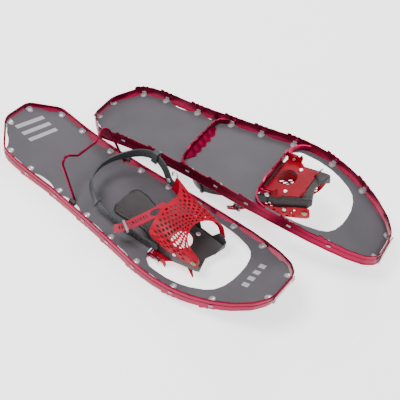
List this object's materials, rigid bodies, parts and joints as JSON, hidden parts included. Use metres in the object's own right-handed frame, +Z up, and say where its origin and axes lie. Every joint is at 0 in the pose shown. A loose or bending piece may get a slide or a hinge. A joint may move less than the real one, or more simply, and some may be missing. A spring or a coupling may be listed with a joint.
{
  "type": "pair of snowshoes",
  "caption": "Pair of technical snowshoes, one standing and one overturned, with toothed rails, fabric decks, pivoting bindings and folding heel lifters.",
  "frame": {"origin": "on the ground, under the middle of the pair in plan", "axes": "+X from the standing shoe's tail to its nose, +Y towards the overturned shoe, +Z up"},
  "size_m": [0.729, 0.405, 0.1363],
  "materials": {
    "red_anodised": "anodised, satin",
    "grey_deck": "coated woven fabric",
    "red_steel": "powder coated",
    "red_tpu": "satin elastomer",
    "dark_tpu": "matt elastomer",
    "steel": "plain, satin",
    "brass": "plain, satin",
    "clear_guard": "clear moulded"
  },
  "bodies": {
    "left_frame": {"left_rail": "red_anodised", "left_deck": "grey_deck", "left_front_crossbeam": "red_anodised", "left_rear_crossbeam": "red_anodised", "left_nose_guard": "clear_guard", "left_pivot_pin_port": "steel", "left_pivot_pin_starboard": "steel", "left_lifter_bracket_port": "dark_tpu", "left_lifter_bracket_starboard": "dark_tpu"},
    "left_binding": {"left_crampon": "red_steel", "left_footbed": "dark_tpu", "left_toe_cradle": "red_tpu", "left_toe_strap": "red_tpu", "left_toe_bolt": "brass", "left_cradle_rivet": "steel", "left_binding_rivet_port": "steel", "left_binding_rivet_starboard": "steel"},
    "left_heel_loop": {"left_heel_strap": "dark_tpu", "left_heel_buckle": "dark_tpu", "left_heel_keeper": "dark_tpu", "left_heel_rivet": "steel"},
    "left_lifter": {"left_heel_lifter": "red_anodised"},
    "right_frame": {"right_rail": "red_anodised", "right_deck": "grey_deck", "right_front_crossbeam": "red_anodised", "right_rear_crossbeam": "red_anodised", "right_nose_guard": "clear_guard", "right_pivot_pin_port": "steel", "right_pivot_pin_starboard": "steel", "right_lifter_bracket_port": "dark_tpu", "right_lifter_bracket_starboard": "dark_tpu"},
    "right_binding": {"right_crampon": "red_steel", "right_footbed": "dark_tpu", "right_toe_cradle": "red_tpu", "right_toe_strap": "red_tpu", "right_toe_bolt": "brass", "right_cradle_rivet": "steel", "right_binding_rivet_port": "steel", "right_binding_rivet_starboard": "steel"},
    "right_heel_loop": {"right_heel_strap": "dark_tpu", "right_heel_buckle": "dark_tpu", "right_heel_keeper": "dark_tpu", "right_heel_rivet": "steel"},
    "right_lifter": {"right_heel_lifter": "red_anodised"}
  },
  "joints": [
    {"name": "right_lift_off", "type": "slide", "parent": "left_frame", "child": "right_frame", "axis": [0, 0, 1], "range_m": [0, 0.3]},
    {"name": "left_binding_pivot", "type": "hinge", "parent": "left_frame", "child": "left_binding", "pos_m": [0.04997, -0.10101, 0.015], "axis": [0, 1, 0], "range_deg": [0, 85]},
    {"name": "left_heel_loop_swing", "type": "hinge", "parent": "left_binding", "child": "left_heel_loop", "pos_m": [0.04347, -0.15051, 0.036], "axis": [-0.3697, 0.8814, 0.2941], "range_deg": [-6, 16]},
    {"name": "left_lifter_pivot", "type": "hinge", "parent": "left_frame", "child": "left_lifter", "pos_m": [-0.14003, -0.10101, 0.0252], "axis": [0, 1, 0], "range_deg": [-58, 30]},
    {"name": "right_binding_pivot", "type": "hinge", "parent": "right_frame", "child": "right_binding", "pos_m": [0.12968, 0.09642, 0.10404], "axis": [0.108, -0.9942, 0], "range_deg": [-8, 77]},
    {"name": "right_heel_loop_swing", "type": "hinge", "parent": "right_binding", "child": "right_heel_loop", "pos_m": [0.09182, 0.14803, 0.03579], "axis": [0.362, -0.8472, 0.3888], "range_deg": [0, 13]},
    {"name": "right_lifter_pivot", "type": "hinge", "parent": "right_frame", "child": "right_lifter", "pos_m": [-0.05538, 0.07631, 0.06463], "axis": [0.108, -0.9942, 0], "range_deg": [0, 88]}
  ]
}
